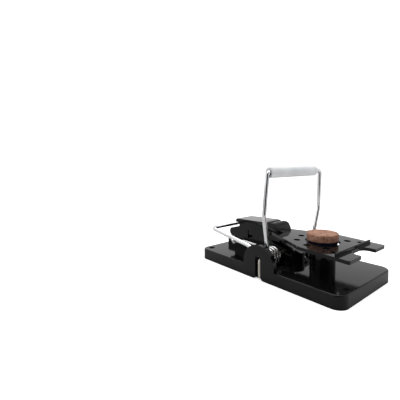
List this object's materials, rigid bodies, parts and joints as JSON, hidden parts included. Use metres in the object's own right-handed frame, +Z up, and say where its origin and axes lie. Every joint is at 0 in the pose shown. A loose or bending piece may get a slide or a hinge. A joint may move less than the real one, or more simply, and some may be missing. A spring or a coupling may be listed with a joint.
{
  "type": "snap mouse trap",
  "caption": "Set snap mouse trap: hollow moulded base with arched ears, wire bail with sleeved kill bar, coil springs, pivoting treadle whose lip holds the bail, and a bait cup.",
  "frame": {"origin": "middle of the base's underside, at the height of the surface the trap stands on", "axes": "+X along the base towards the treadle's free end and the bait, +Y across the base, +Z up"},
  "size_m": [0.1, 0.0532, 0.0604],
  "materials": {
    "base_plastic": "moulded black plastic, glossy, faint mould texture",
    "treadle_plastic": "moulded black plastic, satin gloss",
    "plated_wire": "bright zinc plated drawn steel wire",
    "dull_wire": "dull galvanised steel wire",
    "spring_wire": "bright plated spring wire",
    "sleeve": "pale grey plastic tube, smooth",
    "cup_plastic": "moulded navy black plastic, glossy",
    "bait": "pressed bait paste, pinkish brown, dull and grainy"
  },
  "bodies": {
    "base_body": {"base": "base_plastic", "bail_axle": "dull_wire", "treadle_pin": "plated_wire", "spring_near": "spring_wire", "spring_far": "spring_wire", "bait_cup": "cup_plastic", "bait_disc": "bait"},
    "treadle_body": {"treadle": "treadle_plastic"},
    "bail_body": {"bail": "plated_wire", "kill_bar_sleeve": "sleeve"}
  },
  "joints": [
    {"name": "bail_swing", "type": "hinge", "parent": "base_body", "child": "bail_body", "pos_m": [0.0026, 0, 0.011], "axis": [0, 1, 0], "range_deg": [0, 67], "deforming": ["spring_near", "spring_far"]},
    {"name": "treadle_press", "type": "hinge", "parent": "base_body", "child": "treadle_body", "pos_m": [-0.0375, 0, 0.016], "axis": [0, 1, 0], "range_deg": [0, 7]}
  ]
}
